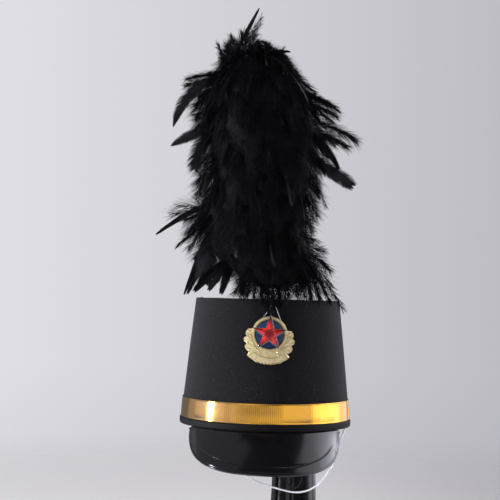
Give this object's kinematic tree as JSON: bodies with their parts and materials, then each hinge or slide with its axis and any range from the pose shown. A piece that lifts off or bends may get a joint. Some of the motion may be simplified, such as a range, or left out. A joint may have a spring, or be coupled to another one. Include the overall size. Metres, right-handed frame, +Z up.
{
  "type": "feathered shako hat on a display stand",
  "caption": "Tall tapered felt hat with a gloss peak, gold band, metal badge and a black feather plume, on a plain column stand.",
  "frame": {"origin": "on the surface under the stand's foot, on the upright axis of the hat's crown", "axes": "+Z up along the crown's axis; the peak, badge and plume face -Y; +X is the right side seen from the front"},
  "size_m": [0.2678, 0.2489, 0.618],
  "materials": {
    "felt": "pressed wool felt, matt",
    "hem_ribbon": "bound black edging, matt",
    "gold_foil": "metallised ribbon, fine upright ribs",
    "gloss_vinyl": "moulded, high gloss",
    "black_metal": "black painted",
    "wound_stem": "wire wound with black thread",
    "bright_wire": "bright drawn wire",
    "feather": "dyed feathers and down",
    "gilt": "die-struck, pale gilt",
    "blue_enamel": "poured enamel",
    "red_enamel": "translucent enamel over facets",
    "white_elastic": "braided elastic",
    "stand_lacquer": "black gloss lacquer",
    "stand_rack": "moulded black"
  },
  "bodies": {
    "root": {"crown_wall": "felt", "crown_top": "felt", "hem_band": "hem_ribbon", "gold_band": "gold_foil", "peak": "gloss_vinyl", "plume_socket": "black_metal", "plume_stem": "wound_stem", "plume_wire": "bright_wire", "plume_feathers": "feather", "badge_wreath": "gilt", "badge_enamel": "blue_enamel", "badge_star": "red_enamel", "chin_cord": "white_elastic", "stand_foot": "stand_lacquer", "stand_column": "stand_lacquer", "stand_head": "stand_lacquer", "stand_rack": "stand_rack"}
  },
  "joints": []
}
